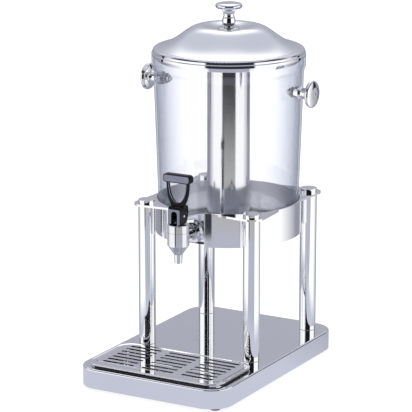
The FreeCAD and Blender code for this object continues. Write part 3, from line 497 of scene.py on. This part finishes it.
def rubber(name, dark, light):
    """Matte rubber or silicone with a fine grain."""
    look = Shader(name)
    grain = look.noise(500.0, 4.0)
    cloud = look.noise(45.0, 4.0)
    look.link(look.blend(look.rise(cloud), dark, light), look.surface.inputs["Base Color"])
    look.link(look.spread(cloud, 0.55, 0.75), look.surface.inputs["Roughness"])
    look.bump(grain, 0.15, 0.0004)
    return look.material


def plain_steel(name, dark, light, stretch):
    """Unpolished steel. Its lines run along the direction with the smallest stretch."""
    look = Shader(name)
    look.fixed(Metallic=1.0)
    lines = look.noise(180.0, 4.0, stretch=stretch)
    cloud = look.noise(14.0, 4.0)
    look.link(look.blend(look.rise(cloud), dark, light), look.surface.inputs["Base Color"])
    look.link(look.spread(lines, 0.26, 0.42), look.surface.inputs["Roughness"])
    look.bump(lines, 0.08, 0.0002)
    return look.material


MATERIALS = {
    "mirror_steel": mirror_steel(),
    "satin_steel": satin_steel(),
    "plated_brass": plated_brass(),
    "clear_polycarbonate": clear_polycarbonate(),
    "black_plastic": black_plastic(),
    "black_rubber": rubber("black_rubber", (0.012, 0.012, 0.013), (0.03, 0.03, 0.032)),
    "pale_silicone": rubber("pale_silicone", (0.60, 0.60, 0.58), (0.70, 0.70, 0.68)),
    "plain_steel": plain_steel("plain_steel", (0.50, 0.50, 0.52), (0.60, 0.60, 0.62), (0.05, 1.0, 1.0)),
    "spring_steel": plain_steel("spring_steel", (0.40, 0.40, 0.43), (0.52, 0.52, 0.55), (1.0, 1.0, 0.2)),
}
# Grey lacquer whose colour paints the sheen on the lever's front faces.
SHEEN_LACQUER = sheen_lacquer()
# Near-black steel: rough cut edges in the grille's slots, and painted shade there and under the tray's
# bead.
CUT_EDGE_AND_SHADE = plain_steel("cut_edge_and_shade", (0.035, 0.033, 0.036), (0.06, 0.058, 0.06), (1.0, 1.0, 0.1))
OWN_LOOKS = {
    "ring_band": mirror_steel("ring_steel", brushed_inside="ring_band"),
    "ice_tube": mirror_steel("tube_steel", 0.11, 0.15),
}


def dress_cad_nodes():
    """Every CAD node takes the finish of its slot in the record, or its own form of that finish."""
    for entry in frame["record"]["subparts"]:
        mesh = NODES[entry["node"]].data
        mesh.materials.clear()
        mesh.materials.append(OWN_LOOKS.get(entry["node"], MATERIALS[entry["material_slot"]]))


# ---------------------------------------------------------------- pieces

HAIR = 0.05 * MM                   # the gap that keeps two pieces from touching
TRAY_CORNER = 25.0 * MM
GRILLE_CORNER = 10.0 * MM
GRILLE_REAR_CORNER = 17.0 * MM     # rounder, to stay clear of the tray's bead
SLOT_LENGTH, SLOT_WIDTH = 52.6 * MM, 6.0 * MM
SLOT_PITCH_X, SLOT_PITCH_Y = 66.0 * MM, 13.15 * MM
SLOT_SHIFT = 1.8 * MM              # how far the slots lie in front of the grille's middle


def darken_edges(thing, chosen):
    """Faces for which chosen(centre, normal) is true take the near-black steel, which paints shade where it
    falls between parts and in slots.
    """
    thing.data.materials.append(CUT_EDGE_AND_SHADE)
    for face in thing.data.polygons:
        if chosen(face.center, face.normal):
            face.material_index = 1


def post_tubes():
    """The four posts, with their ends rounded over, so that a fine line shows where they stand."""
    wall, edge = 1.5 * MM, 0.7 * MM
    for corner in ("front_left", "front_right", "rear_left", "rear_right"):
        low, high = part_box("post_" + corner)
        radius = (high.x - low.x) / 2
        foot = arc((radius - edge, low.z + edge), edge, -90, 0, 4)
        head = arc((radius - edge, high.z - edge), edge, 0, 90, 4)
        profile = foot + head + [(radius - wall, high.z), (radius - wall, low.z)]
        axis = ((low.x + high.x) / 2, (low.y + high.y) / 2)
        tube = lathe("tube_" + corner, profile, axis)
        stand_in(tube, "stand", "mirror_steel", MATERIALS["mirror_steel"], "post_" + corner)


def pressed_tray():
    """The tray as pressed sheet: a rolled bead round the rim, a lower land, and the basin."""
    low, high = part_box("drip_tray")
    plate_low, plate_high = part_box("drip_grille")
    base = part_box("base_cover")[1].z + HAIR
    bead, land = 1.5 * MM, high.z - 0.7 * MM
    seat = plate_low.z - HAIR
    basin_corner = 14.0 * MM
    basin_front, basin_rear = plate_low.y + 4.6 * MM, plate_high.y - 4.8 * MM
    basin_side = plate_high.x - 5.0 * MM

    def rim(inset, height):
        """The rim's edge, drawn in by inset."""
        return (round_rectangle(low.x + inset, high.x - inset, low.y + inset, high.y - inset,
                                TRAY_CORNER - inset), height)

    def pocket(gap, height):
        """Round the grille, with a gap in millimetres."""
        gap = gap * MM
        return (round_rectangle(plate_low.x - gap, plate_high.x + gap, plate_low.y - gap,
                                plate_high.y + gap, GRILLE_CORNER + gap, GRILLE_REAR_CORNER + gap),
                height)

    def basin(inset, height):
        """The basin's wall, drawn in by inset millimetres."""
        inset = inset * MM
        return (round_rectangle(-basin_side + inset, basin_side - inset, basin_front + inset,
                                basin_rear - inset, basin_corner - inset), height)

    inside = [basin(4.0, low.z + 1.2 * MM), basin(2.0, low.z + 1.9 * MM), basin(1.3, low.z + 4.0 * MM),
              basin(1.2, seat - 0.8 * MM), basin(0.8, seat - 0.2 * MM), basin(0.2, seat)]
    step = [pocket(0.25, seat), pocket(0.3, seat + 0.3 * MM), pocket(0.4, land - 0.4 * MM),
            pocket(0.6, land - 0.1 * MM), pocket(0.85, land)]
    dip = [rim(3.6 * MM, land), rim(3.1 * MM, land + 0.10 * MM), rim(2.5 * MM, land + 0.36 * MM)]
    crest = [rim(bead - x, high.z - bead + y) for x, y in arc((0, 0), bead, 80, -50, 11)]
    outside = [rim(1.5 * MM, base + 0.6 * MM), rim(1.5 * MM, base)]
    under = [basin(0.0, base), basin(0.0, low.z + 2.0 * MM), basin(0.6, low.z + 0.6 * MM),
             basin(2.0, low.z)]
    tray = loft("pressed_tray", inside + step + dip + crest + outside + under)
    stand_in(tray, "drip_tray", "mirror_steel", MATERIALS["mirror_steel"], "drip_tray")
    margin = 3 * MM

    def under_bead(centre, normal):
        at_side = abs(centre.x) > high.x - margin
        at_end = not low.y + margin < centre.y < high.y - margin
        return (at_side or at_end) and base - MM < centre.z < base + 2.4 * MM

    # Painted shade: the set-back wall under the bead takes the near-black steel, standing in for the shadow
    # under the bead.
    darken_edges(tray, under_bead)


def stamped_grille():
    """The grille's sheet, with the edges of the sheet and of its slots rounded by stamping."""
    low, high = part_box("drip_grille")
    middle = (low.y + high.y) / 2 - SLOT_SHIFT
    end = SLOT_WIDTH / 2
    outlines = [round_rectangle(low.x, high.x, low.y, high.y, GRILLE_CORNER, GRILLE_REAR_CORNER)]
    for column in (-1, 0, 1):
        for row in range(-3, 4):
            x, y = column * SLOT_PITCH_X, middle + row * SLOT_PITCH_Y
            right, left = x + SLOT_LENGTH / 2 - end, x - SLOT_LENGTH / 2 + end
            outlines.append(arc((right, y), end, -90, 90, 8) + arc((left, y), end, 90, 270, 8))
    sheet = plate("stamped_grille", outlines, low.z, high.z, 0.25 * MM)
    stand_in(sheet, "drip_grille", "mirror_steel", MATERIALS["mirror_steel"], "drip_grille")

    def in_slot(centre, normal):
        inside = low.x + MM < centre.x < high.x - MM and low.y + MM < centre.y < high.y - MM
        return inside and abs(normal.z) < 0.2

    # Cut edges and painted shade: the slot walls take the near-black steel, which stands for rough cut
    # steel and paints the shade inside the slots.
    darken_edges(sheet, in_slot)


class Lever:
    """The tap's lever. Its pieces share these places, which come from the CAD lever and its pin."""

    def __init__(self):
        self.low, self.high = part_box("tap_lever")
        pin_low, pin_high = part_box("lever_pin")
        self.pin_y, self.pin_z = (pin_low.y + pin_high.y) / 2, (pin_low.z + pin_high.z) / 2
        self.pin_radius = (pin_high.z - pin_low.z) / 2
        self.front = self.low.y - self.pin_y
        self.half = (self.high.x - self.low.x) / 2 / MM
        self.bar_foot = self.high.z - 12.6 * MM
        self.shoulder = self.high.z - 15.2 * MM
        self.yoke_top = self.pin_z + 14.8 * MM
        middle = Matrix.Translation((0.0, self.pin_y, 0.0))
        quarter = Matrix.Rotation(math.radians(90), 4, "X")
        # From (x, z, depth towards the front), and from (y, z, x).
        self.upright = middle @ quarter
        self.sideways = middle @ Matrix.Rotation(math.radians(90), 4, "Z") @ quarter

    def outline(self, *corners):
        """A rounded outline. Each corner has x and its rounding in millimetres, and z in metres."""
        return rounded([(x * MM, z, size * MM) for x, z, size in corners], 6)

    def both_sides(self, *line):
        """A smooth line up the right side, x in millimetres and z in metres, and down the left."""
        right = through([(x * MM, z) for x, z in line], 4)
        return right + [(-x, z) for x, z in reversed(right) if x > 0.0]

    def loop(self):
        """The outer line of the loop."""
        foot = self.yoke_top
        return self.both_sides((10.2, foot - 3 * MM), (12.4, foot + 3 * MM), (15.2, foot + 10 * MM),
                               (17.4, foot + 19 * MM), (18.6, self.shoulder),
                               (18.6, self.bar_foot + 2 * MM))

    def hole(self):
        """The line of the hole in the loop."""
        foot = self.yoke_top
        return self.both_sides((0.0, foot + 4.6 * MM), (4.2, foot + 5.4 * MM), (7.8, foot + 9 * MM),
                               (10.8, foot + 14 * MM), (13.2, foot + 21 * MM), (14.3, self.shoulder),
                               (14.3, self.bar_foot))

    def moulding(self):
        """Yoke, loop and bar in one, cut by the loop's hole, the stem's slot and the pin's hole."""
        face_y, back = self.front + 0.35 * MM, self.high.y - self.pin_y
        foot, half, top = self.low.z, self.half, self.high.z
        bar = self.outline((-half, self.bar_foot, 4.6), (half, self.bar_foot, 4.6), (half, top, 4.6),
                           (-half, top, 4.6))
        yoke = rounded([(face_y, foot, 1 * MM), (8.0 * MM, foot, 8 * MM), (back, self.pin_z, 3 * MM),
                        (back, self.yoke_top, 4 * MM), (face_y, self.yoke_top, 4 * MM)])
        slot_top = self.pin_z + 8.1 * MM
        slot = self.outline((-5.3, foot - 3 * MM, 0), (5.3, foot - 3 * MM, 0), (5.3, slot_top, 5.2),
                            (-5.3, slot_top, 5.2))
        pin = arc((0.0, self.pin_z), self.pin_radius + 0.4 * MM, 0, 345, 23)
        blocks = [prism("yoke_block", yoke, -10.3 * MM, 10.3 * MM, self.sideways),
                  prism("loop_block", self.loop(), -2.3 * MM, 2.3 * MM, self.upright),
                  prism("bar_block", bar, -5.3 * MM, 5.3 * MM, self.upright)]
        cuts = [prism("loop_cut", self.hole(), -9 * MM, 9 * MM, self.upright),
                prism("slot_cut", slot, -7.6 * MM, 20 * MM, self.upright),
                prism("pin_cut", pin, -20 * MM, 20 * MM, self.sideways)]
        lever = moulded("moulded_lever", blocks, cuts, 0.55 * MM, 5)
        stand_in(lever, "tap_lever", "black_plastic", MATERIALS["black_plastic"], "tap_lever")

    def loop_highlight(self):
        """A lacquered bead along the front of the loop's hole: a painted highlight where the hole's edge
        catches the light.
        """
        line = [(x * 1.02, self.pin_y - 2.1 * MM, z) for x, z in self.hole()]
        stand_in(wire("loop_highlight", line, 0.5 * MM), "tap_lever", "black_plastic", SHEEN_LACQUER)

    def bar_panel(self):
        """The lacquered face of the finger bar. Its grey is painted sheen, where the bar's front catches
        the light.
        """
        left, right = 1.5 - self.half, self.half - 2.2
        foot, top = self.bar_foot + 1.5 * MM, self.high.z - 1.7 * MM
        panel = self.outline((left, foot, 3.4), (right, foot, 3.4), (right, top, 3.4), (left, top, 3.4))
        face = plate("bar_panel", [panel], 5.0 * MM, 5.7 * MM, 0.25 * MM, self.upright)
        stand_in(face, "tap_lever", "black_plastic", SHEEN_LACQUER)

    def yoke_panel(self):
        """The lacquered face of the yoke, which runs round the stem's slot like an arch. Its grey is
        painted sheen, where the yoke's front catches the light.
        """
        foot, arch, top = self.low.z + 1.2 * MM, self.pin_z + 8.2 * MM, self.yoke_top - 3.8 * MM
        panel = self.outline((-9.2, foot, 0.4), (-5.1, foot, 0.4), (-5.1, arch, 5.0), (5.1, arch, 5.0),
                             (5.1, foot, 0.4), (9.2, foot, 0.4), (9.2, top, 0.8), (-9.2, top, 0.8))
        face = plate("yoke_panel", [panel], -self.front - 0.9 * MM, -self.front - 0.02 * MM, 0.2 * MM,
                     self.upright)
        stand_in(face, "tap_lever", "black_plastic", SHEEN_LACQUER)


def lever_pieces():
    """The black lever, and the grey lacquered faces on it that paint its sheen."""
    lever = Lever()
    lever.moulding()
    lever.loop_highlight()
    lever.bar_panel()
    lever.yoke_panel()


def return_spring():
    """The tap's coil spring, built at its rest length. In the tap it shortens towards the bonnet as the
    plunger rises.
    """
    low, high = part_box("tap_spring")
    middle = (low + high) / 2
    wire_radius, turns, steps = 0.55 * MM, 7, 24
    coil_radius = (high.x - low.x) / 2 - wire_radius
    foot, climb = low.z + wire_radius, high.z - low.z - 2 * wire_radius
    line = []
    for step in range(turns * steps + 1):
        angle = 2 * math.pi * step / steps
        line.append((middle.x + coil_radius * math.cos(angle), middle.y + coil_radius * math.sin(angle),
                     foot + climb * step / (turns * steps)))
    coil = wire("return_spring", line, wire_radius, closed=False)
    stand_in(coil, "container", "spring_steel", MATERIALS["spring_steel"], "tap_spring")
    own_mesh(coil)


# ---------------------------------------------------------------- studio

FLOOR_FAR = 30.0           # radius of the pale floor, metres
TABLE = 3.2                # radius of the part of the studio's table that polished metal mirrors
# Angles are in degrees round the vertical axis: 0 at the viewer, growing to the viewer's right.
FRONT_GAP = (-35.0, 39.0)  # the darker gap where the viewer stands
DARK_CASE = (-36.0, -25.0)                         # something dark on the table, at the gap's left edge
TABLE_SLITS = ((-120.0, -114.0), (126.0, 132.0))   # two dark strips on the table
WALL_SLITS = (114.0, 127.0)                        # dark strips in the walls, on both sides
SIDE_WALLS = 107.0         # the light walls fade out round this angle to both sides
# Heights are in degrees above the horizon.
DARK_BAND = (27.0, 52.0)   # a dark band above the front and the side walls
WHITE, BLUISH, BEIGE = (1.0, 1.0, 1.0), (0.90, 0.93, 1.06), (1.02, 1.0, 0.97)
LAVENDER, SLATE = (0.93, 0.96, 1.12), (0.80, 0.93, 1.12)


def disc(name, radius, steps=128):
    """A flat disc at height 0, round the vertical axis."""
    return build(name, [(x, y, 0.0) for x, y in arc((0, 0), radius, 0, 360 - 360 / steps, steps - 1)],
                 [list(range(steps))])


def around(look, place):
    """The angle of a place round the vertical axis."""
    azimuth = math.radians(VIEW_AZIMUTH)
    turned = look.node("ShaderNodeVectorRotate", rotation_type="Z_AXIS")
    turned.inputs["Angle"].default_value = math.pi / 2 - azimuth
    look.link(place, turned.inputs["Vector"])
    flat = look.node("ShaderNodeSeparateXYZ")
    look.link(turned.outputs[0], flat.inputs[0])
    swing = look.math("ARCTAN2", flat.outputs["Y"], flat.outputs["X"])
    return look.times(swing, 180 / math.pi)


def band(look, value, low, high, soft):
    """1 between low and high, fading to 0 over soft on both sides."""
    rise = look.rise(value, low - soft, low + soft)
    fall = look.fall(value, high - soft, high + soft)
    return look.times(rise, fall)


def glow(colour, strength):
    """The colour of a glowing surface."""
    return tuple(strength * part for part in colour)


def floor_material():
    """Pale and evenly bright, so that only a faint shadow is left under the object."""
    look = Shader("studio_floor")
    soft = look.noise(2.0, 2.0)
    look.link(look.blend(soft, (0.30, 0.30, 0.303), (0.31, 0.31, 0.31)), look.surface.inputs["Base Color"])
    look.fixed(Roughness=1.0, Specular_IOR_Level=0.0)
    look.fixed(Emission_Color=(1.0, 1.0, 1.0, 1.0), Emission_Strength=0.85)
    return look.material


def table_material():
    """What polished metal mirrors below the horizon: white at the sides, beige in front, grey behind."""
    look = Shader("studio_table")
    angle = around(look, look.place)
    distance = look.node("ShaderNodeVectorMath", operation="LENGTH")
    look.link(look.place, distance.inputs[0])
    reach = distance.outputs["Value"]
    # Painted shade: close to the object the table turns lavender at the front and sides, standing in for
    # the shade that the object casts on the white table.
    near_shade = look.rise(reach, 0.30, 0.44)
    # In front, going outwards: lavender, beige, and dark.
    front = look.blend(look.rise(reach, 1.30, 1.80), glow(BEIGE, 0.50), glow(SLATE, 0.035))
    front = look.blend(look.rise(reach, 0.86, 1.02), glow(LAVENDER, 0.56), front)
    front = look.blend(near_shade, glow(LAVENDER, 0.68), front)
    side = look.blend(near_shade, glow(LAVENDER, 0.68), glow(WHITE, 1.22))
    behind = look.blend(look.rise(reach, 0.2, 0.5), glow(LAVENDER, 0.50), glow(LAVENDER, 0.36))
    colour = look.blend(band(look, angle, -SIDE_WALLS, SIDE_WALLS, 21.0), behind, side)
    colour = look.blend(band(look, angle, *FRONT_GAP, 2.0), colour, front)
    left_slit, right_slit = [band(look, angle, *slit, 0.5) for slit in TABLE_SLITS]
    slits = look.times(look.plus(left_slit, right_slit), look.rise(reach, 1.7, 1.8))
    colour = look.blend(slits, colour, glow(SLATE, 0.03))
    case = look.times(band(look, angle, *DARK_CASE, 0.7), band(look, reach, 0.85, 1.44, 0.02))
    colour = look.blend(case, colour, glow(SLATE, 0.05))
    shine = look.node("ShaderNodeEmission")
    look.link(colour, shine.inputs["Color"])
    look.link(shine.outputs[0], look.nodes["Material Output"].inputs["Surface"])
    return look.material


def make_floor():
    """A pale floor and backdrop, and the table top that only polished metal sees."""
    pale = floor_material()
    floor = disc("floor", FLOOR_FAR)
    floor.visible_glossy = False
    floor.data.materials.append(pale)
    backdrop = lathe("backdrop", [(FLOOR_FAR, 0.0), (FLOOR_FAR, FLOOR_FAR)], closed=False)
    backdrop.data.materials.append(pale)
    for part in ("glossy", "diffuse", "transmission", "volume_scatter", "shadow"):
        setattr(backdrop, "visible_" + part, False)
    table = disc("table_mirrored", TABLE)
    table.data.materials.append(table_material())
    for part in ("camera", "diffuse", "transmission", "volume_scatter", "shadow"):
        setattr(table, "visible_" + part, False)


class Surroundings(Shader):
    """The world's node tree."""

    def __init__(self):
        world = bpy.data.worlds.new("studio")
        bpy.context.scene.world = world
        world.use_nodes = True
        self.nodes = world.node_tree.nodes
        self.links = world.node_tree.links
        self.place = self.node("ShaderNodeTexCoord").outputs["Generated"]


def make_surroundings():
    """Light walls at both sides, a dark gap at the viewer, a grey wall behind and a bluish ceiling."""
    look = Surroundings()
    parts = look.node("ShaderNodeSeparateXYZ")
    look.link(look.place, parts.inputs[0])
    angle = around(look, look.place)
    height = look.times(look.math("ARCSINE", parts.outputs["Z"]), 180 / math.pi)
    aside = look.math("ABSOLUTE", angle)
    back = look.blend(look.rise(height, -2.0, 12.0), glow(LAVENDER, 0.38), glow(BLUISH, 0.50))
    colour = look.blend(band(look, angle, -SIDE_WALLS, SIDE_WALLS, 16.0), back, glow(WHITE, 1.25))
    colour = look.blend(band(look, aside, *WALL_SLITS, 1.0), colour, glow(WHITE, 0.03))
    colour = look.blend(look.rise(height, 20.0, 27.0), colour, glow(BLUISH, 0.70))
    shade = look.times(band(look, angle, -SIDE_WALLS, SIDE_WALLS, 3.0), band(look, height, *DARK_BAND, 3.0))
    colour = look.blend(shade, colour, glow(SLATE, 0.05))
    # A bright strip high up behind the object.
    strip = look.times(look.rise(height, 30.0, 36.0), look.fall(height, 50.0, 76.0))
    strip = look.times(strip, look.rise(aside, 148.0, 170.0))
    colour = look.blend(strip, colour, glow(WHITE, 1.7))
    gap = look.times(band(look, angle, *FRONT_GAP, 2.0), look.fall(height, 21.0, 30.0))
    colour = look.blend(gap, colour, glow(SLATE, 0.012))
    background = look.nodes["Background"]
    look.link(colour, background.inputs["Color"])


def make_soft_light():
    """A very large soft light from above. Metal doesn't mirror it: it mirrors the surroundings."""
    light = bpy.data.lights.new("soft_top", "SUN")
    light.energy = 1.9
    light.angle = math.radians(110.0)
    lamp = bpy.data.objects.new("soft_top", light)
    bpy.context.scene.collection.objects.link(lamp)
    lamp.rotation_euler = (math.radians(12.0), math.radians(10.0), 0.0)
    lamp.visible_glossy = False


def make_camera():
    """The viewpoint that the VIEW_ numbers give."""
    lens = bpy.data.cameras.new("viewer")
    lens.lens = VIEW_LENS
    lens.sensor_width = 36.0
    lens.clip_end = 100.0
    camera = bpy.data.objects.new("viewer", lens)
    bpy.context.scene.collection.objects.link(camera)
    azimuth = math.radians(VIEW_AZIMUTH)
    camera.location = (VIEW_DISTANCE * math.sin(azimuth), -VIEW_DISTANCE * math.cos(azimuth), VIEW_HEIGHT)
    camera.rotation_euler = (math.radians(90.0 - VIEW_PITCH), 0.0, math.radians(VIEW_HEADING))
    bpy.context.scene.camera = camera


def make_studio():
    """Everything round the object."""
    make_floor()
    make_surroundings()
    make_soft_light()
    make_camera()
    bpy.context.scene.view_settings.view_transform = "Standard"


# ---------------------------------------------------------------- the whole object

dress_cad_nodes()
# Polished metal doesn't mirror the clear container: its many walls would show there as black.
NODES["container"].visible_glossy = False
post_tubes()
pressed_tray()
stamped_grille()
lever_pieces()
return_spring()
make_studio()
